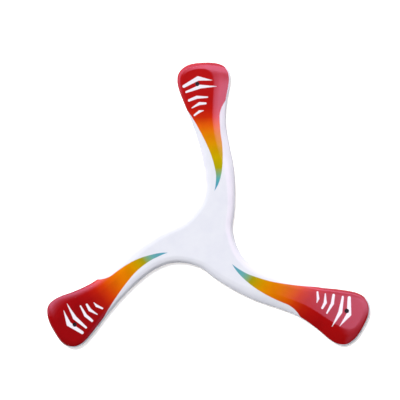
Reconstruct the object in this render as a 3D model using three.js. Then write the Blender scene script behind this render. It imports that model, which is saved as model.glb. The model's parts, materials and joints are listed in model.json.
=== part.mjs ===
// Three-bladed wooden boomerang for a right-handed thrower, in millimetres, +Z up.
// It lies flat: the underside is on Z = 0, the hub is centred on the Z axis, and blade 1 points along +Y.
// The blank is a stack of thin birch plies glued face to face, then shaped to an airfoil along every edge.
// Each ply is a body of its own, and a metal weight stands in a pocket drilled near each tip.

import * as THREE from 'three';

// Blank
const BLADE_COUNT = 3;
const PLY_COUNT = 10;
const PLY_THICKNESS = 0.5;
const BLANK_THICKNESS = PLY_COUNT * PLY_THICKNESS;

// Edges. The lower arris is only eased; the upper side is shaped over the full width of the bevel.
const LOWER_ARRIS_WIDTH = 0.4;
const LOWER_ARRIS_HEIGHT = 0.5;
const UPRIGHT_EDGE_HEIGHT = 1.5;
const NARROWEST_BEVEL = 5;

// Tip weights, each in a blind pocket that is drilled from the upper face
const WEIGHT_DIAMETER = 3.7;
const WEIGHT_CHAMFER = 0.3;
const POCKET_DIAMETER = 4;
const POCKET_PLACE = [-7, 140];
const POCKET_FLOOR_PLY = 2;
const WEIGHT_RECESS = 0.6;
const ROUND_SIDES = 20;

// Plan of one blade, counter-clockwise from the root of the trailing edge, over the tip and back down the
// leading edge. Each pair is a point of the edge and the point of the ridge where its bevel ends and the flat
// upper face starts. The next blade carries on where it stops.
const BLADE_PLAN = [
  // trailing edge, a long shallow taper that is widest behind the paddle
  [[24, 7.5], [18.3, 9.6]], [[26, 25.5], [20, 26.2]], [[26.5, 46], [19.5, 45.8]], [[25, 66], [16.2, 64.5]],
  [[21, 86], [10.8, 84]], [[18, 106], [7, 105.5]], [[19.5, 126], [7.5, 126]],
  // tip
  [[22.5, 143], [8, 141]], [[20.5, 153.5], [6.5, 149]], [[11, 159], [2.5, 153]], [[-3, 160], [-4, 154.2]],
  [[-16.5, 158], [-14.5, 152.5]], [[-24.5, 151], [-20, 148]],
  // leading edge, a tight round nose
  [[-25.5, 141], [-20.6, 141.6]], [[-20.5, 126], [-15.8, 127.7]], [[-13.5, 109], [-8.8, 110.8]],
  [[-7, 90], [-2.2, 91.4]], [[-2, 70], [2.9, 70.9]], [[-0.2, 51], [4.8, 50.6]], [[-4.2, 33.5], [0.8, 31.4]],
];
const STEPS_PER_PLAN_POINT = 3;

const UP = new THREE.Vector3(0, 0, 1);

const BIRCH = { light: 0xe3c9a0, dark: 0xd2b283, roughness: 0.62 };
const LEAD = { color: 0x3a3b3e, roughness: 0.55, metalness: 0.85 };

function bladeAngle(blade) {
  return (blade * 2 * Math.PI) / BLADE_COUNT;
}

// A smooth closed curve through one blade's points and their copies on the other blades.
function closedCurve(bladePoints) {
  const controls = [];
  for (let blade = 0; blade < BLADE_COUNT; blade += 1) {
    for (const [x, y] of bladePoints) {
      controls.push(new THREE.Vector3(x, y, 0).applyAxisAngle(UP, bladeAngle(blade)));
    }
  }
  const curve = new THREE.CatmullRomCurve3(controls, true, 'centripetal');
  return curve.getPoints(controls.length * STEPS_PER_PLAN_POINT).slice(0, -1);
}

// The points of the edge, each with the direction and the distance to its point on the ridge.
function planOfBlank() {
  const ridge = closedCurve(BLADE_PLAN.map((pair) => pair[1]));
  return closedCurve(BLADE_PLAN.map((pair) => pair[0])).map((edge, i) => {
    const bevel = new THREE.Vector2(ridge[i].x - edge.x, ridge[i].y - edge.y);
    const width = bevel.length();
    return { edge: new THREE.Vector2(edge.x, edge.y), inward: bevel.normalize(), width };
  });
}

// Share of the bevel's width that is gone at a height. The leading edge is a quarter ellipse, and the wider
// the bevel, the straighter its slope, so the trailing edge comes out nearly as a plane.
function bevelShare(height, width) {
  const rise = (height - UPRIGHT_EDGE_HEIGHT) / (BLANK_THICKNESS - UPRIGHT_EDGE_HEIGHT);
  if (rise <= 0) return 0;
  const roundness = 1 + NARROWEST_BEVEL / width;
  return 1 - (1 - rise ** roundness) ** (1 / roundness);
}

function insetAt(height, width) {
  const arris = LOWER_ARRIS_WIDTH * Math.max(0, 1 - height / LOWER_ARRIS_HEIGHT);
  return arris + width * bevelShare(height, width);
}

// The blank's outline at a height, as 2-D points.
function sectionAt(height, plan) {
  return plan.map(({ edge, inward, width }) => edge.clone().addScaledVector(inward, insetAt(height, width)));
}

function pocketCentre(blade) {
  return new THREE.Vector2(...POCKET_PLACE).rotateAround(new THREE.Vector2(), bladeAngle(blade));
}

function pocketRim(blade) {
  const radius = POCKET_DIAMETER / 2;
  const circle = new THREE.EllipseCurve(...pocketCentre(blade), radius, radius, 0, 2 * Math.PI, true);
  return circle.getPoints(ROUND_SIDES).slice(0, -1);
}

// A closed slab between two outlines with the same number of points, with upright holes through it.
function slabGeometry(lower, upper, floor, ceiling, holes) {
  const rings = [lower, ...holes];
  const flat = rings.flat();
  const lidOffset = flat.length;
  const positions = [
    ...flat.flatMap((p) => [p.x, p.y, floor]),
    ...[upper, ...holes].flat().flatMap((p) => [p.x, p.y, ceiling]),
  ];
  const index = [];
  for (const [a, b, c] of THREE.ShapeUtils.triangulateShape(lower, holes)) {
    index.push(c, b, a);
  }
  for (const [a, b, c] of THREE.ShapeUtils.triangulateShape(upper, holes)) {
    index.push(a + lidOffset, b + lidOffset, c + lidOffset);
  }
  let start = 0;
  for (const ring of rings) {
    ring.forEach((_, i) => {
      const here = start + i;
      const next = start + ((i + 1) % ring.length);
      index.push(here, next, next + lidOffset, here, next + lidOffset, here + lidOffset);
    });
    start += ring.length;
  }
  const geometry = new THREE.BufferGeometry();
  geometry.setAttribute('position', new THREE.Float32BufferAttribute(positions, 3));
  geometry.setIndex(index);
  geometry.computeVertexNormals();
  return geometry;
}

// Ply 1 is the lowest. Neighbours share the outline at the glue line, so they meet face to face.
function makePly(number, plan, pockets) {
  const floor = (number - 1) * PLY_THICKNESS;
  const ceiling = number * PLY_THICKNESS;
  const holes = number > POCKET_FLOOR_PLY ? pockets : [];
  const geometry = slabGeometry(sectionAt(floor, plan), sectionAt(ceiling, plan), floor, ceiling, holes);
  const color = number % 2 ? BIRCH.light : BIRCH.dark;
  const material = new THREE.MeshStandardMaterial({ color, roughness: BIRCH.roughness, metalness: 0 });
  const ply = new THREE.Mesh(geometry, material);
  ply.name = `ply_${String(number).padStart(2, '0')}`;
  return ply;
}

// A turned slug with both ends chamfered, standing on the pocket's floor and a little below the upper face.
function makeTipWeight(blade) {
  const radius = WEIGHT_DIAMETER / 2;
  const floor = POCKET_FLOOR_PLY * PLY_THICKNESS;
  const height = BLANK_THICKNESS - WEIGHT_RECESS - floor;
  const profile = [
    [0, 0], [radius - WEIGHT_CHAMFER, 0], [radius, WEIGHT_CHAMFER],
    [radius, height - WEIGHT_CHAMFER], [radius - WEIGHT_CHAMFER, height], [0, height],
  ].map(([x, y]) => new THREE.Vector2(x, y));
  const geometry = new THREE.LatheGeometry(profile, ROUND_SIDES).rotateX(Math.PI / 2);
  const weight = new THREE.Mesh(geometry, new THREE.MeshStandardMaterial(LEAD));
  const centre = pocketCentre(blade);
  weight.position.set(centre.x, centre.y, floor);
  weight.name = `tip_weight_${blade + 1}`;
  return weight;
}

function buildBoomerang() {
  const boomerang = new THREE.Group();
  boomerang.name = 'tri_blade_boomerang';
  const plan = planOfBlank();
  const blades = Array.from({ length: BLADE_COUNT }, (_, blade) => blade);
  const pockets = blades.map(pocketRim);
  for (let number = 1; number <= PLY_COUNT; number += 1) {
    boomerang.add(makePly(number, plan, pockets));
  }
  boomerang.add(...blades.map(makeTipWeight));
  return boomerang;
}

export default buildBoomerang();
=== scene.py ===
# %% [markdown]
# # A three-bladed wooden boomerang
#
# The real thing is sawn from one sheet of birch plywood, shaped to an airfoil with a rasp and sandpaper,
# sprayed white, then given a flame of colour and five pale claw strokes on each blade, and sealed under a
# gloss lacquer. A metal slug glued into each tip carries its spin.
#
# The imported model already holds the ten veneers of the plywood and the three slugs, at their real sizes.
# They are loaded first and are never moved or reshaped. This lesson adds what a joiner's drawing leaves
# out: the paint with its artwork, the wood's figure, the glue round each slug, and the light.

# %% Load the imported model
import json
import math

import bmesh
import bpy
from mathutils import Matrix, Vector

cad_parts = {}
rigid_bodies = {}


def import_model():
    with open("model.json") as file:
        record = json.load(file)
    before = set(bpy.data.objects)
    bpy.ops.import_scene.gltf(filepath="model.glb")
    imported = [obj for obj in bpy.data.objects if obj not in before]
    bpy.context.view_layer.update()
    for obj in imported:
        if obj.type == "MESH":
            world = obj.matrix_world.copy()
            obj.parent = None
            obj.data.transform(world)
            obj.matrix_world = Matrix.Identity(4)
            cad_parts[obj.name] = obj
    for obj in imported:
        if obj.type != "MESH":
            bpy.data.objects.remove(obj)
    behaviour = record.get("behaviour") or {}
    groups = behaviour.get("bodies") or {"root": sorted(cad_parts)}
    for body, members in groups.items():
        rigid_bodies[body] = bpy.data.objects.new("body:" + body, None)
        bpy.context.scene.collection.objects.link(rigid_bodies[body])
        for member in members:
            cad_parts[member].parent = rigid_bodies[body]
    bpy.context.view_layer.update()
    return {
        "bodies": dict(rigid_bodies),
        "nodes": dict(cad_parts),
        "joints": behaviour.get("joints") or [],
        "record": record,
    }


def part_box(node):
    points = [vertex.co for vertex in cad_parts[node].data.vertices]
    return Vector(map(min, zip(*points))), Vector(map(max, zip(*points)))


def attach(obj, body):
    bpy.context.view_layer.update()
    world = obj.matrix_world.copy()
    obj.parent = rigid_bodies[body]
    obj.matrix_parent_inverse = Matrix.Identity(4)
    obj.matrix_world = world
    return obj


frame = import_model()

# %% Names and sizes that every step shares
MM = 0.001
MERGE_DISTANCE = 0.01 * MM
nodes = frame["nodes"]
plies = sorted(name for name in nodes if name.startswith("ply_"))
weights = sorted(name for name in nodes if name.startswith("tip_weight_"))
record_colour = {m["slot"]: m["base_color"][:3] for m in frame["record"]["materials"]}

ply_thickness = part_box(plies[0])[1].z
blank_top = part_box(plies[-1])[1].z
weight_centres = [(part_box(name)[0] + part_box(name)[1]) / 2 for name in weights]
weight_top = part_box(weights[0])[1].z
weight_radius = (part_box(weights[0])[1].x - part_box(weights[0])[0].x) / 2
print(len(plies), "plies,", round(blank_top / MM, 2), "mm thick;", len(weights), "weights")

# %% [markdown]
# ## The camera
#
# The boomerang lies flat and is seen from nearly straight above, so the camera looks down with a small
# lean. The lean brings a hint of the near edges into view, which is what tells the eye that the blank is
# thick. A long lens from about a metre keeps the three blades the same length. Its rotation is built from
# two directions, because the usual "track to" helper spins a camera that looks straight down.

# %% Make the camera
CAMERA_LEAN = math.radians(8.5)
CAMERA_BEARING = math.radians(-37)
CAMERA_DISTANCE = 1.145
CAMERA_LENS = 115
AIM = Vector((-4.9 * MM, 35.2 * MM, blank_top / 2))


def look_from(aim, backwards, distance):
    """A camera's matrix: it looks along -backwards at aim, and the world's +Y points up the picture."""
    right = Vector((0, 1, 0)).cross(backwards).normalized()
    up = backwards.cross(right)
    turn = Matrix((right, up, backwards)).transposed().to_4x4()
    return Matrix.Translation(aim + backwards * distance) @ turn


lean = Vector((math.cos(CAMERA_BEARING), math.sin(CAMERA_BEARING), 0)) * math.sin(CAMERA_LEAN)
camera = bpy.data.objects.new("camera", bpy.data.cameras.new("camera"))
bpy.context.scene.collection.objects.link(camera)
camera.data.lens = CAMERA_LENS
camera.matrix_world = look_from(AIM, lean + Vector((0, 0, math.cos(CAMERA_LEAN))), CAMERA_DISTANCE)
bpy.context.scene.camera = camera
print("camera at", [round(c, 3) for c in camera.location])

# %% [markdown]
# ## Tools for node graphs
#
# Every finish here is a formula in the object's own coordinates, and the lamps use one too. Writing node
# graphs in code gets long, so a small helper adds a node, feeds its sockets with numbers or wires, and
# returns its output.

# %% A helper that wires nodes
class Graph:
    """Adds nodes to a tree and wires them. Values can be numbers or the outputs of other nodes."""

    def __init__(self, tree):
        self.tree = tree

    def node(self, kind, feeds=None, **settings):
        made = self.tree.nodes.new(kind)
        for name, value in settings.items():
            setattr(made, name, value)
        for socket, value in (feeds or {}).items():
            self.feed(made.inputs[socket], value)
        return made

    def feed(self, socket, value):
        if isinstance(value, bpy.types.NodeSocket):
            self.tree.links.new(value, socket)
        else:
            socket.default_value = value

    def math(self, operation, *values, clamp=False):
        feeds = dict(enumerate(values))
        return self.node("ShaderNodeMath", feeds, operation=operation, use_clamp=clamp).outputs[0]

    def vector(self, operation, *values):
        made = self.node("ShaderNodeVectorMath", dict(enumerate(values)), operation=operation)
        return made.outputs["Value"] if operation in ("DOT_PRODUCT", "LENGTH") else made.outputs[0]

    def step(self, value, start, end):
        """0 before start, 1 after end, smooth between. Start may be the larger one."""
        feeds = {"Value": value, "From Min": start, "From Max": end}
        return self.node("ShaderNodeMapRange", feeds, interpolation_type="SMOOTHSTEP").outputs["Result"]

    def scaled(self, place, scale):
        return self.node("ShaderNodeMapping", {"Vector": place, "Scale": scale}).outputs["Vector"]

    def noise(self, place, scale, detail=3.0, roughness=0.5):
        feeds = {"Vector": place, "Scale": scale, "Detail": detail, "Roughness": roughness}
        return self.node("ShaderNodeTexNoise", feeds).outputs["Fac"]

    def mix(self, share, first, second):
        """Colour first where share is 0, colour second where it is 1."""
        made = self.node("ShaderNodeMix", data_type="RGBA")
        for socket, value in zip((made.inputs[0], made.inputs[6], made.inputs[7]), (share, first, second)):
            self.feed(socket, value)
        return made.outputs[2]

    def ramp(self, value, stops):
        """A colour ramp from (position, colour) pairs."""
        made = self.node("ShaderNodeValToRGB", {"Fac": value})
        elements = made.color_ramp.elements
        while len(elements) < len(stops):
            elements.new(1.0)
        for element, (position, colour) in zip(elements, stops):
            element.position, element.color = position, colour
        return made.outputs["Color"]

    def bump(self, height, distance, strength=1.0, normal=None):
        made = self.node("ShaderNodeBump", {"Height": height, "Distance": distance, "Strength": strength})
        if normal is not None:
            self.feed(made.inputs["Normal"], normal)
        return made.outputs["Normal"]


def new_material(name, **constants):
    """A material, its graph and its shader, with the shader's constant values set on its own sockets."""
    material = bpy.data.materials.new(name)
    material.use_nodes = True
    shader = material.node_tree.nodes["Principled BSDF"]
    for socket, value in constants.items():
        shader.inputs[socket.replace("_", " ")].default_value = value
    return material, Graph(material.node_tree), shader


def srgb(red, green, blue):
    """A colour as a paint chip gives it, 0 to 255, as the linear light that the shader wants."""
    def linear(value):
        value /= 255
        return value / 12.92 if value <= 0.04045 else ((value + 0.055) / 1.055) ** 2.4

    return (linear(red), linear(green), linear(blue), 1.0)


def finish_with(thing, material):
    """Gives an object one material, in its first slot."""
    if not thing.material_slots:
        thing.data.materials.append(material)
    thing.material_slots[0].material = material


# %% [markdown]
# ## Floor and light
#
# Two jobs are kept apart here. The first is to light the paint: a wide, low key lamp from behind and a
# little from the left, and a fill overhead. The key makes the slopes that face the front darker than the
# ones that face the back, which is what shows the airfoil on a white object. The floor is a light table
# that glows a little, so that the shadow on it stays a thin line.
#
# The second job is what the lacquer mirrors. A photographer finds the places by asking where each face
# would see a lamp. The flat faces of the upper and left blades have to look past every lamp to keep their
# deep colour, while the slopes that face right and back have to catch one and turn pale. So there are
# softboxes that only a mirror sees, round a dark window above the middle. A softbox is dimmer towards its
# frame, and that is why a reflection fades in and out on real lacquer. They are slightly rose, which cools
# the red of the paint where they show.

# %% Make the floor, the lamps and the sky
def link(name, data):
    """A new object in the scene."""
    thing = bpy.data.objects.new(name, data)
    bpy.context.scene.collection.objects.link(thing)
    return thing


def panel(name, centre, size, radiance, colour=(1, 1, 1), turn=(0, 0, 0), mirrored=True):
    """A rectangular lamp that shines down before its turn. It lights either mirrors only or paint only."""
    lamp = bpy.data.lights.new(name, "AREA")
    lamp.shape = "RECTANGLE"
    lamp.size, lamp.size_y = size
    lamp.energy = radiance * math.pi * size[0] * size[1]
    lamp.color = colour
    box = link(name, lamp)
    box.location, box.rotation_euler = centre, turn
    box.visible_glossy = mirrored
    box.visible_diffuse = not mirrored
    return box


def dim_towards_frame(box, sides, depths, frame):
    """Fades a level panel out over the four widths in frame: at its left, right, near and far edge."""
    box.data.use_nodes = True
    g = Graph(box.data.node_tree)
    spot = g.node("ShaderNodeNewGeometry").outputs["Position"]
    x, y, _ = g.node("ShaderNodeSeparateXYZ", {0: spot}).outputs
    strength = 1.0
    for value, limits, widths in ((x, sides, frame[:2]), (y, depths, frame[2:])):
        strength = g.math("MULTIPLY", strength, g.step(value, limits[0], limits[0] + widths[0]))
        strength = g.math("MULTIPLY", strength, g.step(value, limits[1], limits[1] - widths[1]))
    g.feed(box.data.node_tree.nodes["Emission"].inputs["Strength"], strength)


FLOOR_HALF_WIDTH = 3
FLOOR_GAP = 0.3 * MM
bm = bmesh.new()
bmesh.ops.create_grid(bm, x_segments=1, y_segments=1, size=FLOOR_HALF_WIDTH)
bmesh.ops.translate(bm, verts=bm.verts, vec=(0, 0, -FLOOR_GAP))
floor = link("floor", bpy.data.meshes.new("floor"))
bm.to_mesh(floor.data)
bm.free()

KEY_FROM = Vector((-0.45, 0.95, 1.15))
KEY_STRENGTH = 3.85
KEY_SPREAD = math.radians(24)
key = link("key", bpy.data.lights.new("key", "SUN"))
key.data.energy = KEY_STRENGTH
key.data.angle = KEY_SPREAD
key.rotation_euler = KEY_FROM.to_track_quat("Z", "Y").to_euler()
key.visible_glossy = False

FILL_RADIANCE = 0.34
panel("fill", (0, 0, 1.6), (2.6, 2.6), FILL_RADIANCE, mirrored=False)

# Each softbox hangs level: (left, right), (near, far), the widths over which it fades, radiance. No two
# hang at the same height, because a ray that meets two lamps in one plane sees only one of them.
ROSE = (1.0, 0.54, 0.88)
SOFTBOXES = {
    "softbox_right": ((-0.02, 1.4), (-0.5, 0.2), (0.18, 0.1, 0.6, 0.2), 4.9),
    "softbox_right_rear": ((-0.1, 1.4), (0.02, 0.56), (0.45, 0.1, 0.18, 0.3), 5.1),
    "softbox_back": ((-0.5, 1.4), (0.37, 1.6), (0.45, 0.1, 0.3, 0.1), 5.6),
    "softbox_back_left": ((-1.15, -0.2), (0.45, 1.6), (0.5, 0.3, 0.6, 0.1), 3.4),
    "softbox_left": ((-1.7, -0.55), (-0.08, 1.7), (0.1, 0.6, 0.65, 0.1), 4.5),
    "softbox_front": ((0.0, 1.4), (-1.2, -0.2), (0.3, 0.1, 0.3, 0.3), 0.6),
}
SOFTBOX_HEIGHT = 1.0
HEIGHT_STEP = 0.01
for i, (name, (sides, depths, frame_widths, radiance)) in enumerate(SOFTBOXES.items()):
    middle = (sum(sides) / 2, sum(depths) / 2, SOFTBOX_HEIGHT + i * HEIGHT_STEP)
    box = panel(name, middle, (sides[1] - sides[0], depths[1] - depths[0]), radiance, ROSE)
    dim_towards_frame(box, sides, depths, frame_widths)

# A wall of light on three sides serves the steepest slopes.
QUARTER = math.radians(90)
WALL_RADIANCE = 2.2
WALL_HEIGHT = 0.9
panel("wall_right", (1.4, 0.5, 0.55), (WALL_HEIGHT, 1.8), WALL_RADIANCE, ROSE, (0, QUARTER, 0))
panel("wall_left", (-1.7, 0.8, 0.55), (WALL_HEIGHT, 1.8), WALL_RADIANCE, ROSE, (0, -QUARTER, 0))
panel("wall_back", (-0.15, 1.6, 0.55), (2.7, WALL_HEIGHT), WALL_RADIANCE, ROSE, (-QUARTER, 0, 0))

sky = bpy.data.worlds.new("studio")
sky.use_nodes = True
sky.node_tree.nodes["Background"].inputs["Color"].default_value = (0.9, 0.94, 1.0, 1)
sky.node_tree.nodes["Background"].inputs["Strength"].default_value = 0.05
bpy.context.scene.world = sky
bpy.context.scene.view_settings.view_transform = "Standard"

# %% [markdown]
# ## The coat of paint as a shell
#
# Paint has a thickness, and it hides the steps between the veneers under one smooth skin. So the coat is a
# shell of its own. It starts as a copy of the veneers: the copy's loose triangles are merged, the faces
# that are buried at the glue lines go, and what is left is the skin of the blank. The bottom veneer stays
# bare, since the maker masks the underside and only varnishes it.

# %% Take the skin off the stack of veneers
LEVEL = 0.999
POCKET_REACH = weight_radius + 0.5 * MM


def over_pocket(point):
    """Whether a point lies over one of the pockets for the weights."""
    return any((point.xy - centre.xy).length < POCKET_REACH for centre in weight_centres)


def is_buried(face):
    """Whether a face of the stack is at a glue line, in a pocket or on the bottom veneer."""
    centre = face.calc_center_median()
    if abs(face.normal.z) > LEVEL:
        return centre.z < blank_top - ply_thickness / 2
    return centre.z < ply_thickness or over_pocket(centre)


def skin_of_the_blank():
    """The painted faces of the blank, merged into one sheet."""
    skin = bmesh.new()
    for name in plies:
        skin.from_mesh(nodes[name].data)
    bmesh.ops.remove_doubles(skin, verts=skin.verts, dist=MERGE_DISTANCE)
    skin.normal_update()
    bmesh.ops.delete(skin, geom=[f for f in skin.faces if is_buried(f)], context="FACES")
    return skin


bm = skin_of_the_blank()
print("skin:", len(bm.verts), "vertices,", len(bm.faces), "triangles")

# %% [markdown]
# ### From triangles to a clean surface
#
# Subdivision gives a smooth curve only on an even net of four-sided faces. On the slopes each panel is two
# triangles, and the edge between them is always the longer of the two that climb from a corner, so it can
# be found and dissolved. The flat top gets a narrow collar of four-sided faces by an inset. Moving the
# boundary inwards can turn over the long thin triangles behind it, so those are deleted and the space is
# filled anew. The collar holds the flat, and the creases behind it keep subdivision from moving the new
# triangles.
#
# The skin also learns how far each of its points lies from the edge of the blank, seen from above. That
# number goes into an attribute, which the paint will read to know where its spray ran out.

# %% Tidy the net and give the flat top a collar
COLLAR = 0.9 * MM
LEAST_CLIMB = 0.1 * MM


def panel_diagonals(skin):
    """On the slopes, the longest edge that climbs from each corner."""
    found = []
    for vert in skin.verts:
        climbing = [e for e in vert.link_edges if e.other_vert(vert).co.z > vert.co.z + LEAST_CLIMB]
        if len(climbing) > 1:
            found.append(max(climbing, key=lambda e: e.calc_length()))
    return found


bmesh.ops.dissolve_edges(bm, edges=panel_diagonals(bm), use_verts=False)
top_faces = [f for f in bm.faces if f.normal.z > LEVEL]
bmesh.ops.inset_region(bm, faces=top_faces, thickness=COLLAR, use_boundary=True, use_even_offset=True)
inside = set(top_faces)
collar_edges = [e for f in top_faces for e in f.edges if any(other not in inside for other in e.link_faces)]
bmesh.ops.delete(bm, geom=top_faces, context="FACES")
filled = bmesh.ops.triangle_fill(bm, use_beauty=True, edges=collar_edges, normal=(0, 0, 1))["geom"]
flat_faces = [item for item in filled if isinstance(item, bmesh.types.BMFace)]
crease = bm.edges.layers.float.new("crease_edge")
for face in flat_faces:
    for edge in face.edges:
        edge[crease] = 1.0
bm.normal_update()
turned_over = [f for f in flat_faces if f.normal.z < 0]
bmesh.ops.reverse_faces(bm, faces=turned_over)
for face in bm.faces:
    face.smooth = True


def far_from(point, edges):
    """Distance in plan from a point to the nearest of some edges."""
    nearest = []
    for start, end in edges:
        share = max(0.0, min(1.0, (point - start).dot(end - start) / (end - start).length_squared))
        nearest.append((point - start.lerp(end, share)).length_squared)
    return math.sqrt(min(nearest))


rim = [[v.co.xy for v in e.verts] for e in bm.edges if e.is_boundary and e.verts[0].co.z < blank_top / 2]
from_edge = bm.verts.layers.float.new("from_edge")
for vert in bm.verts:
    vert[from_edge] = far_from(vert.co.xy, rim) / MM
print("furthest from the edge:", round(max(v[from_edge] for v in bm.verts), 1), "mm")
print("four-sided faces:", sum(len(f.verts) == 4 for f in bm.faces), "of", len(bm.faces))

# %% Make the coat, with its smoothness and its thickness as modifiers
COAT_THICKNESS = 0.25 * MM
SMOOTHNESS = 2

coat = link("painted_coat", bpy.data.meshes.new("painted_coat"))
bm.to_mesh(coat.data)
bm.free()
subdivide = coat.modifiers.new("smooth", "SUBSURF")
subdivide.levels = subdivide.render_levels = SMOOTHNESS
thicken = coat.modifiers.new("coat_thickness", "SOLIDIFY")
thicken.thickness = COAT_THICKNESS
thicken.offset = 1
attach(coat, "root")

# %% [markdown]
# ## The glue round each weight
#
# The slug is a little thinner than the pocket, and the glue between them climbs the wall in a meniscus. A
# ring like that is a profile spun once round the weight's axis.

# %% Spin a glue ring in each pocket
RING_STEPS = 40


def glue_ring(name, centre):
    """A ring of glue between a weight and its pocket, higher at the wall than at the weight."""
    wall = weight_radius + 0.13 * MM
    low = weight_top - 1.2 * MM
    profile = [
        (weight_radius - 0.02 * MM, low),
        (wall, low),
        (wall, weight_top + 0.18 * MM),
        (wall - 0.07 * MM, weight_top + 0.03 * MM),
        (weight_radius - 0.1 * MM, weight_top - 0.16 * MM),
    ]
    ring = bmesh.new()
    corners = [ring.verts.new((centre.x + r, centre.y, z)) for r, z in profile]
    outline = ring.faces.new(corners)
    edges = list(outline.edges)
    bmesh.ops.delete(ring, geom=[outline], context="FACES_ONLY")
    axis = Vector((centre.x, centre.y, 0))
    turn = {"cent": axis, "axis": (0, 0, 1), "angle": math.tau, "steps": RING_STEPS}
    bmesh.ops.spin(ring, geom=corners + edges, use_merge=True, **turn)
    bmesh.ops.remove_doubles(ring, verts=ring.verts, dist=0.005 * MM)
    bmesh.ops.recalc_face_normals(ring, faces=ring.faces)
    for face in ring.faces:
        face.smooth = True
    piece = link(name, bpy.data.meshes.new(name))
    ring.to_mesh(piece.data)
    ring.free()
    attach(piece, "root")
    return piece


glue_rings = [glue_ring(f"glue_ring_{i}", centre) for i, centre in enumerate(weight_centres, 1)]
print("glue rings:", [len(ring.data.polygons) for ring in glue_rings], "faces")

# %% [markdown]
# ## Where a point lies on its blade
#
# The artwork is the same on all three blades, so it is drawn once, on a blade that points along +Y. The
# compass bearing of a point, divided by 120 degrees and rounded, says which blade it is on, and turning it
# back by that many thirds of a turn gives how far along the blade and across it the point lies. Both are in
# millimetres: along counts from the hub's centre, and across is positive towards the trailing edge.

# %% Fold the three blades onto one
def blade_place(g):
    """(blade, across, along): the blade is 0, 1 or -1, clockwise from +Y, and the others are millimetres."""
    place = g.node("ShaderNodeTexCoord").outputs["Object"]
    x, y, _ = g.node("ShaderNodeSeparateXYZ", {0: place}).outputs
    third = math.tau / 3
    bearing = g.math("ARCTAN2", x, y)
    blade = g.math("ROUND", g.math("DIVIDE", bearing, third))
    turned = g.math("SUBTRACT", bearing, g.math("MULTIPLY", blade, third))
    squares = g.math("ADD", g.math("POWER", x, 2), g.math("POWER", y, 2))
    radius = g.math("DIVIDE", g.math("SQRT", squares), MM)
    across = g.math("MULTIPLY", radius, g.math("SINE", turned))
    along = g.math("MULTIPLY", radius, g.math("COSINE", turned))
    return blade, across, along


# %% [markdown]
# The blades are not quite alike, because each was masked and sprayed by hand. A small table says how, with
# one number for each blade: where along it the flame starts and how far that start has slipped across, how
# far the leading tape bows out, where the trailing side flares, how far the colours have slipped and how
# they slant, how much painted shade darkens the paddle, and how far the strokes have slipped. The painted
# shade stands in for the light that the left blade's paddle lacks. The slant and the painted shade are
# shares, and all the others are millimetres.

# %% What differs from blade to blade
BLADE_DIFFERENCES = {
    "point": {0: 43, 1: 32, -1: 35},
    "start": {0: 0.8, 1: -0.3, -1: -1.2},
    "bow": {0: 0, 1: -2, -1: -0.2},
    "flare": {0: 108.5, 1: 92, -1: 87},
    "colours": {0: -3.6, 1: -0.8, -1: -4.8},
    "slant": {0: 0, 1: 0.1, -1: -0.15},
    "painted_shade": {0: 0, 1: 0, -1: 0.17},
    # The left blade's share of painted shade, which darkens its paddle for the light it lacks.
    "strokes_across": {0: 0, 1: 1, -1: 2.6},
    "strokes_along": {0: 0.3, 1: -1.6, -1: -0.3},
}


def by_blade(g, blade, what):
    """The number that holds for the blade a point is on."""
    total = 0.0
    for which, number in BLADE_DIFFERENCES[what].items():
        total = g.math("MULTIPLY_ADD", g.math("COMPARE", blade, which, 0.5), number, total)
    return total


# %% [markdown]
# ## The flame
#
# The colour is a long wedge. It starts as a point near the hub, widens along the blade and takes in the
# whole paddle. Each side is a curve of across against along, in a Float Curve node with a handful of
# points, as a painter would bend a masking tape. Beyond the wedge's waist the trailing side flares
# outwards, faster and faster, which is a parabola. A ramp along the blade gives teal, olive, yellow, orange
# and red in turn. The first blade has a ramp of its own, whose reds are brighter.

# %% Mask and colour the flame
ALONG_RANGE = (30, 140)
ACROSS_RANGE = (-30, 30)
FLAME_POINT = 36
FLAME_FIXED = 110
FLAME_LEADING = [
    (36, 7.6), (40, 8.4), (46, 9.1), (52, 9.4), (58, 8.7), (69, 6.3), (81, 2.0), (95, -4.2), (110, -12.0),
    (122, -19.5), (140, -29),
]
FLAME_TRAILING = [
    (36, 7.6), (40, 9.9), (46, 12.4), (52, 14.0), (60, 15.4), (70, 15.9), (82, 15.4), (95, 13.8),
    (110, 13.0), (140, 13.0),
]
FLAME_TIP_FADES = (35, 37)
START_FADES = (72, 44)
BOW_RISES = (30, 66)
BOW_FALLS = (122, 104)
FLARE_GROWTH = 0.0205
FLAME_COLOURS = [
    (34, srgb(80, 158, 185)), (44, srgb(100, 170, 172)), (49, srgb(125, 168, 120)), (53, srgb(160, 153, 18)),
    (58, srgb(188, 151, 6)), (64, srgb(210, 141, 0)), (72, srgb(221, 126, 0)), (80, srgb(220, 113, 0)),
    (88, srgb(214, 90, 2)), (96, srgb(202, 56, 4)), (104, srgb(183, 28, 6)), (112, srgb(170, 13, 8)),
    (122, srgb(162, 7, 9)),
]
FIRST_BLADE_COLOURS = [
    (42, srgb(60, 150, 185)), (50, srgb(85, 165, 170)), (55, srgb(125, 168, 115)), (60, srgb(168, 160, 10)),
    (70, srgb(195, 162, 0)), (76, srgb(204, 155, 0)), (84, srgb(217, 138, 0)), (90, srgb(221, 126, 0)),
    (98, srgb(223, 94, 4)), (106, srgb(205, 42, 5)), (114, srgb(187, 21, 10)), (122, srgb(180, 17, 16)),
    (138, srgb(180, 18, 20)),
]
TAPE_SOFTNESS = 0.35
SLANT_CENTRE = 12
# Painted shade: this dark red is mixed into the left blade's paddle, which gets less light.
PAINTED_SHADE_RED = srgb(60, 0, 20)
PAINTED_SHADE_ALONG = (92, 116)


def share_of(value, limits):
    """Where a number lies between two limits, as 0 to 1."""
    return (value - limits[0]) / (limits[1] - limits[0])


def share_along(g, along):
    """Where a place along the blade lies in the range that the curves and the ramp cover, as 0 to 1."""
    return g.node("ShaderNodeMapRange", {0: along, 1: ALONG_RANGE[0], 2: ALONG_RANGE[1]}).outputs[0]


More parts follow.
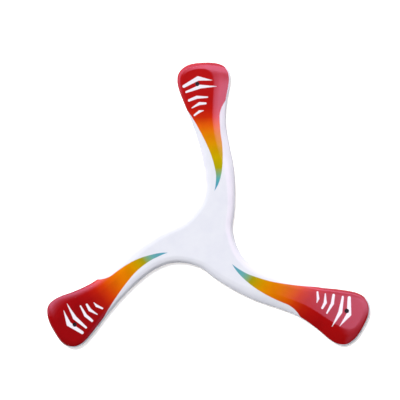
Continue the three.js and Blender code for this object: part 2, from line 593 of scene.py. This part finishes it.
def tape_line(g, along, points):
    """How far across a masked edge lies, in millimetres, for a place along the blade."""
    bent = g.node("ShaderNodeFloatCurve", {"Value": share_along(g, along)})
    curve = bent.mapping.curves[0]
    while len(curve.points) < len(points):
        curve.points.new(0.5, 0.5)
    for point, (x, y) in zip(curve.points, points):
        point.location = (share_of(x, ALONG_RANGE), share_of(y, ACROSS_RANGE))
    bent.mapping.update()
    span = ACROSS_RANGE[1] - ACROSS_RANGE[0]
    return g.math("MULTIPLY_ADD", bent.outputs["Value"], span, ACROSS_RANGE[0])


def flame_mask(g, blade, across, along):
    """1 inside the flame. Each blade's tape is stretched so that it starts at that blade's own point."""
    reach = g.math("SUBTRACT", FLAME_FIXED, by_blade(g, blade, "point"))
    stretch = g.math("DIVIDE", FLAME_FIXED - FLAME_POINT, reach)
    stretched = g.math("MULTIPLY_ADD", g.math("SUBTRACT", along, FLAME_FIXED), stretch, FLAME_FIXED)
    bow = g.math("MULTIPLY", g.step(along, *BOW_RISES), g.step(along, *BOW_FALLS))
    leading = g.math("MULTIPLY_ADD", bow, by_blade(g, blade, "bow"), tape_line(g, stretched, FLAME_LEADING))
    start = g.math("MULTIPLY", g.step(along, *START_FADES), by_blade(g, blade, "start"))
    past_waist = g.math("MAXIMUM", g.math("SUBTRACT", along, by_blade(g, blade, "flare")), 0.0)
    flare = g.math("MULTIPLY", g.math("POWER", past_waist, 2), FLARE_GROWTH)
    trailing = g.math("ADD", tape_line(g, stretched, FLAME_TRAILING), flare)
    across = g.math("SUBTRACT", across, start)
    inside = g.math("MINIMUM", g.math("SUBTRACT", across, leading), g.math("SUBTRACT", trailing, across))
    masked = g.step(inside, -TAPE_SOFTNESS, TAPE_SOFTNESS)
    return g.math("MULTIPLY", masked, g.step(stretched, *FLAME_TIP_FADES))


def colour_ramp(g, place, colours):
    """A ramp of colours that are given by their millimetres along the blade."""
    return g.ramp(share_along(g, place), [(share_of(mm, ALONG_RANGE), colour) for mm, colour in colours])


def flame_colour(g, blade, across, along):
    """The colour of the flame at a point, with painted shade on the left blade's paddle."""
    slipped = g.math("ADD", along, by_blade(g, blade, "colours"))
    off_centre = g.math("SUBTRACT", across, SLANT_CENTRE)
    slanted = g.math("MULTIPLY_ADD", off_centre, by_blade(g, blade, "slant"), slipped)
    on_first = g.math("COMPARE", blade, 0, 0.5)
    usual = colour_ramp(g, slanted, FLAME_COLOURS)
    colour = g.mix(on_first, usual, colour_ramp(g, slanted, FIRST_BLADE_COLOURS))
    # Painted shade: the left blade's paddle is darkened towards its tip, for the light it lacks.
    darker = g.math("MULTIPLY", by_blade(g, blade, "painted_shade"), g.step(slanted, *PAINTED_SHADE_ALONG))
    return g.mix(darker, colour, PAINTED_SHADE_RED)


# %% [markdown]
# ## The claw strokes
#
# Each paddle carries five pale strokes with a bend in the middle. A stroke is two straight strips end to
# end, and each strip is all the points that are nearer to its centre line than a half width that changes
# along it. That test is the same for every strip, so it is one node group, used ten times.

# %% Build the strip group and lay out the strokes
# Each stroke is three points of (across, along, half width), from the leading side to the trailing side.
CLAW_STROKES = [
    [(-19.2, 137.8, 1.3), (-6.4, 144.7, 2.0), (6.4, 142.8, 0.15)],
    [(-17.0, 132.6, 0.9), (-4.4, 137.2, 1.7), (10.2, 137.2, 0.15)],
    [(-14.4, 124.9, 1.1), (-7.4, 127.6, 1.35), (2.2, 127.5, 0.6)],
    [(-11.8, 118.0, 0.4), (-5.0, 121.8, 1.35), (0.4, 121.9, 0.9)],
    [(-9.6, 111.3, 0.75), (-5.0, 114.6, 1.1), (-1.4, 115.4, 0.25)],
]
STROKE_SOFTNESS = 0.3


def strip_group():
    """Signed distance in millimetres from a tapered strip between two points, negative inside it."""
    tree = bpy.data.node_groups.new("tapered_strip", "ShaderNodeTree")
    for name in ("Place", "Start", "End"):
        tree.interface.new_socket(name, in_out="INPUT", socket_type="NodeSocketVector")
    for name in ("From", "To"):
        tree.interface.new_socket(name, in_out="INPUT", socket_type="NodeSocketFloat")
    tree.interface.new_socket("Distance", in_out="OUTPUT", socket_type="NodeSocketFloat")
    g = Graph(tree)
    given = g.node("NodeGroupInput").outputs
    line = g.vector("SUBTRACT", given["End"], given["Start"])
    reach = g.vector("SUBTRACT", given["Place"], given["Start"])
    reach_by_line = g.vector("DOT_PRODUCT", reach, line)
    share = g.math("DIVIDE", reach_by_line, g.vector("DOT_PRODUCT", line, line), clamp=True)
    # On the centre line, the nearest point is the share of the way from the start to the end.
    along_line = g.node("ShaderNodeVectorMath", {0: line, "Scale": share}, operation="SCALE").outputs[0]
    off_line = g.vector("LENGTH", g.vector("SUBTRACT", reach, along_line))
    half_width = g.math("MULTIPLY_ADD", g.math("SUBTRACT", given["To"], given["From"]), share, given["From"])
    g.node("NodeGroupOutput", {"Distance": g.math("SUBTRACT", off_line, half_width)})
    return tree


STRIP = strip_group()


def claw_strokes(g, blade, across, along):
    """Mask of the five strokes."""
    nearest = None
    across = g.math("SUBTRACT", across, by_blade(g, blade, "strokes_across"))
    along = g.math("SUBTRACT", along, by_blade(g, blade, "strokes_along"))
    place = g.node("ShaderNodeCombineXYZ", {0: across, 1: along}).outputs[0]
    for stroke in CLAW_STROKES:
        for start, end in zip(stroke, stroke[1:]):
            strip = g.node("ShaderNodeGroup", node_tree=STRIP)
            feeds = {"Place": place, "From": start[2], "To": end[2]}
            feeds.update({"Start": (*start[:2], 0), "End": (*end[:2], 0)})
            for socket, value in feeds.items():
                g.feed(strip.inputs[socket], value)
            distance = strip.outputs["Distance"]
            nearest = distance if nearest is None else g.math("MINIMUM", nearest, distance)
    return g.step(nearest, STROKE_SOFTNESS, -STROKE_SOFTNESS)


# %% [markdown]
# ## The painted finish
#
# The layers are mixed in the order in which they were sprayed: white, then the flame, then the strokes. The
# blank lay flat and the gun was held to one side, so the upright part of the edge stayed white, and on the
# sides that faced away from the gun the white reaches a little up the slope. Over it all lies the lacquer.
# It isn't a perfect mirror: it has a faint orange peel, the grain of the top veneer prints through it, and
# the glue lines show as ripples where the slope cuts across them. The paddles got most of it, so the gloss
# grows along the flame. The paint below has no shine of its own, because all of it is wetted by the
# lacquer.

# %% Put the paint together
WHITE_PAINT = srgb(229, 230, 239)
WHITE_PAINT_THIN = srgb(224, 225, 236)
STROKE_PAINT = srgb(238, 234, 244)
WHITE_GLOSS = 0.6
ARM_GLOSS = 0.15
GLOSS_GROWS = (66, 108)
AWAY_FROM_GUN = (0.85, -0.53, 0.0)
SPRAY_HEIGHT = (1.1, 1.6)
SPRAY_MISS = 1.15
SPRAY_SOFTNESS = 0.25
MOTTLE_SHARE = 0.12
MOTTLE_PAINT = srgb(90, 0, 0)


def spray_reach(g, place):
    """1 where the coloured spray landed, 0 near the edge of the blank."""
    ragged = g.math("MULTIPLY_ADD", g.noise(place, 700), 0.4, -0.2)
    normal = g.node("ShaderNodeNewGeometry").outputs["Normal"]
    sideways = g.vector("NORMALIZE", g.vector("MULTIPLY", normal, (1, 1, 0)))
    turned_away = g.step(g.vector("DOT_PRODUCT", sideways, AWAY_FROM_GUN), -0.2, 0.5)
    missed = g.math("MULTIPLY", turned_away, SPRAY_MISS)
    from_edge = g.node("ShaderNodeAttribute", attribute_name="from_edge").outputs["Fac"]
    past = g.math("ADD", g.math("SUBTRACT", from_edge, missed), ragged)
    height = g.math("DIVIDE", g.node("ShaderNodeSeparateXYZ", {0: place}).outputs["Z"], MM)
    raised = g.step(g.math("ADD", height, ragged), *SPRAY_HEIGHT)
    return g.math("MULTIPLY", g.step(past, -SPRAY_SOFTNESS, SPRAY_SOFTNESS), raised)


def surface_relief(g, place):
    """The lacquer's normal: orange peel, then the print of the grain, then the glue lines on the slopes."""
    peel = g.noise(place, 420, detail=1.5)
    grain = g.noise(g.scaled(place, (900, 40, 900)), 1.0, detail=3)
    height = g.node("ShaderNodeSeparateXYZ", {0: place}).outputs["Z"]
    lines = g.math("SINE", g.math("MULTIPLY", height, math.tau / ply_thickness))
    relief = g.bump(peel, 0.02 * MM, 0.5)
    relief = g.bump(grain, 0.012 * MM, 0.4, relief)
    return g.bump(lines, 0.006 * MM, 0.4, relief)


def painted_finish():
    material, g, shader = new_material(
        "painted_finish", Coat_Roughness=0.07, Coat_IOR=1.5, Specular_IOR_Level=0.0
    )
    blade, across, along = blade_place(g)
    place = g.node("ShaderNodeTexCoord").outputs["Object"]
    mottle = g.noise(place, 90, detail=4)
    colour = flame_colour(g, blade, across, along)
    colour = g.mix(g.math("MULTIPLY", g.step(mottle, 0.35, 0.75), MOTTLE_SHARE), colour, MOTTLE_PAINT)
    white = g.mix(g.step(mottle, 0.3, 0.8), WHITE_PAINT, WHITE_PAINT_THIN)
    in_flame = flame_mask(g, blade, across, along)
    painted = g.mix(g.math("MULTIPLY", in_flame, spray_reach(g, place)), white, colour)
    strokes = g.math("MULTIPLY", claw_strokes(g, blade, across, along), in_flame)
    g.feed(shader.inputs["Base Color"], g.mix(strokes, painted, STROKE_PAINT))
    g.feed(shader.inputs["Roughness"], g.math("MULTIPLY_ADD", mottle, 0.12, 0.4))
    gloss = g.math("MULTIPLY_ADD", g.step(along, *GLOSS_GROWS), 1 - ARM_GLOSS, ARM_GLOSS)
    extra = g.math("MULTIPLY", in_flame, g.math("SUBTRACT", gloss, WHITE_GLOSS))
    g.feed(shader.inputs["Coat Weight"], g.math("ADD", WHITE_GLOSS, extra))
    relief = surface_relief(g, place)
    g.feed(shader.inputs["Normal"], relief)
    g.feed(shader.inputs["Coat Normal"], relief)
    return material


finish_with(coat, painted_finish())
print("painted finish:", len(coat.material_slots[0].material.node_tree.nodes), "nodes")

# %% [markdown]
# ## Birch
#
# Peeled birch is pale and nearly plain, with fine fibres, soft broad figure where the knife ran through the
# growth rings, and short dark pores. The grain turns by a right angle from one veneer to the next, so there
# are two birches: the lighter has its grain square to the first blade, and the darker has it in line with
# that blade.

# %% Make the two birches
GLUE_LINE = srgb(96, 62, 34)
PORE_BROWN = srgb(110, 72, 44)
TAN_SHARE = 0.72


def birch(name, slot, turn):
    """Birch veneer with its grain along X, turned about Z, under a thin varnish."""
    material, g, shader = new_material(name, Coat_Weight=0.6, Coat_Roughness=0.18, Specular_IOR_Level=0.4)
    place = g.node("ShaderNodeTexCoord").outputs["Object"]
    turned = g.node("ShaderNodeMapping", {"Vector": place, "Rotation": (0, 0, turn)}).outputs["Vector"]
    fibres = g.noise(g.scaled(turned, (60, 2600, 900)), 1.0, detail=4, roughness=0.65)
    drift = g.noise(g.scaled(turned, (9, 42, 9)), 1.0, detail=2)
    rings = {"Vector": g.scaled(turned, (6, 70, 6)), "Scale": 0.55, "Distortion": 9, "Detail": 2}
    rings["Detail Scale"] = 0.7
    figure = g.node("ShaderNodeTexWave", rings, bands_direction="Y").outputs["Fac"]
    pores = g.step(g.noise(g.scaled(turned, (420, 5200, 900)), 1.0, detail=1), 0.66, 0.74)
    pale = (*record_colour[slot], 1.0)
    tan = (*(c * TAN_SHARE for c in pale[:3]), 1.0)
    wood = g.mix(g.math("MULTIPLY", g.step(fibres, 0.3, 0.75), 0.55), pale, tan)
    wood = g.mix(g.math("MULTIPLY", figure, g.math("MULTIPLY", drift, 0.55)), wood, tan)
    wood = g.mix(g.math("MULTIPLY", pores, 0.5), wood, PORE_BROWN)
    height = g.node("ShaderNodeSeparateXYZ", {0: place}).outputs["Z"]
    layer = g.math("FRACT", g.math("DIVIDE", height, ply_thickness))
    off_middle = g.math("ABSOLUTE", g.math("SUBTRACT", layer, 0.5))
    normal = g.node("ShaderNodeNewGeometry").outputs["Normal"]
    upright = g.math("SUBTRACT", 1.0, g.math("ABSOLUTE", g.vector("DOT_PRODUCT", normal, (0, 0, 1))))
    glue = g.math("MULTIPLY", g.step(off_middle, 0.42, 0.48), g.step(upright, 0.1, 0.3))
    g.feed(shader.inputs["Base Color"], g.mix(glue, wood, GLUE_LINE))
    g.feed(shader.inputs["Roughness"], g.math("MULTIPLY_ADD", fibres, 0.2, 0.38))
    relief = g.bump(fibres, 0.01 * MM, 0.4)
    g.feed(shader.inputs["Normal"], g.bump(pores, -0.02 * MM, 0.5, relief))
    return material


GRAIN_TURN = {"birch_light": 0.0, "birch_dark": math.radians(90)}
birches = {slot: birch(slot, slot, turn) for slot, turn in GRAIN_TURN.items()}
slot_of = {entry["node"]: entry["material_slot"] for entry in frame["record"]["subparts"]}
for name in plies:
    finish_with(nodes[name], birches[slot_of[name]])
print("veneers:", {name: slot_of[name] for name in plies[:2]}, "and so on")

# %% [markdown]
# ## Metal and glue
#
# The slugs are cut from dull wire and have gone dark. Nothing on them is polished: the face is pitted from
# the hammer that set it. The glue is a dark amber epoxy. A CAD piece may carry modifiers, so the slug's
# facets are welded and rounded that way, with its mesh left as it is.

# %% Finish the weights and the glue rings
def dull_metal():
    material, g, shader = new_material("weight_metal", Metallic=0.75, Specular_IOR_Level=0.3)
    place = g.node("ShaderNodeTexCoord").outputs["Object"]
    patches = g.noise(place, 1600, detail=5, roughness=0.7)
    pits = g.node("ShaderNodeTexVoronoi", {"Vector": place, "Scale": 2600}).outputs["Distance"]
    bright = (*record_colour["weight_metal"], 1.0)
    g.feed(shader.inputs["Base Color"], g.mix(g.step(patches, 0.35, 0.7), srgb(14, 13, 13), bright))
    g.feed(shader.inputs["Roughness"], g.math("MULTIPLY_ADD", patches, 0.25, 0.5))
    g.feed(shader.inputs["Normal"], g.bump(pits, 0.05 * MM, 0.6))
    return material


def amber_glue():
    material, g, shader = new_material("glue", Coat_Weight=0.5, Coat_Roughness=0.1, Specular_IOR_Level=0.5)
    place = g.node("ShaderNodeTexCoord").outputs["Object"]
    clouds = g.noise(place, 1300, detail=3)
    g.feed(shader.inputs["Base Color"], g.mix(g.step(clouds, 0.3, 0.7), srgb(28, 18, 12), srgb(52, 32, 18)))
    g.feed(shader.inputs["Roughness"], g.math("MULTIPLY_ADD", clouds, 0.2, 0.25))
    g.feed(shader.inputs["Normal"], g.bump(clouds, 0.03 * MM, 0.4))
    return material


metal = dull_metal()
for name in weights:
    finish_with(nodes[name], metal)
    nodes[name].modifiers.new("weld", "WELD").merge_threshold = MERGE_DISTANCE
    rounding = nodes[name].modifiers.new("rounding", "SUBSURF")
    rounding.levels = rounding.render_levels = SMOOTHNESS
glue = amber_glue()
for ring in glue_rings:
    finish_with(ring, glue)

# %% [markdown]
# ## The floor's finish
#
# The floor is plain, pale and matt. A trace of unevenness in its tone keeps it from looking like a void.

# %% Finish the floor
FLOOR_GLOW = 0.45
material, g, shader = new_material("pale_floor", Roughness=0.9, Specular_IOR_Level=0.1)
tone = g.noise(g.node("ShaderNodeTexCoord").outputs["Object"], 3, detail=2)
g.feed(shader.inputs["Base Color"], g.mix(tone, srgb(250, 250, 250), srgb(248, 249, 251)))
shader.inputs["Emission Color"].default_value = (1, 1, 1, 1)
shader.inputs["Emission Strength"].default_value = FLOOR_GLOW
finish_with(floor, material)
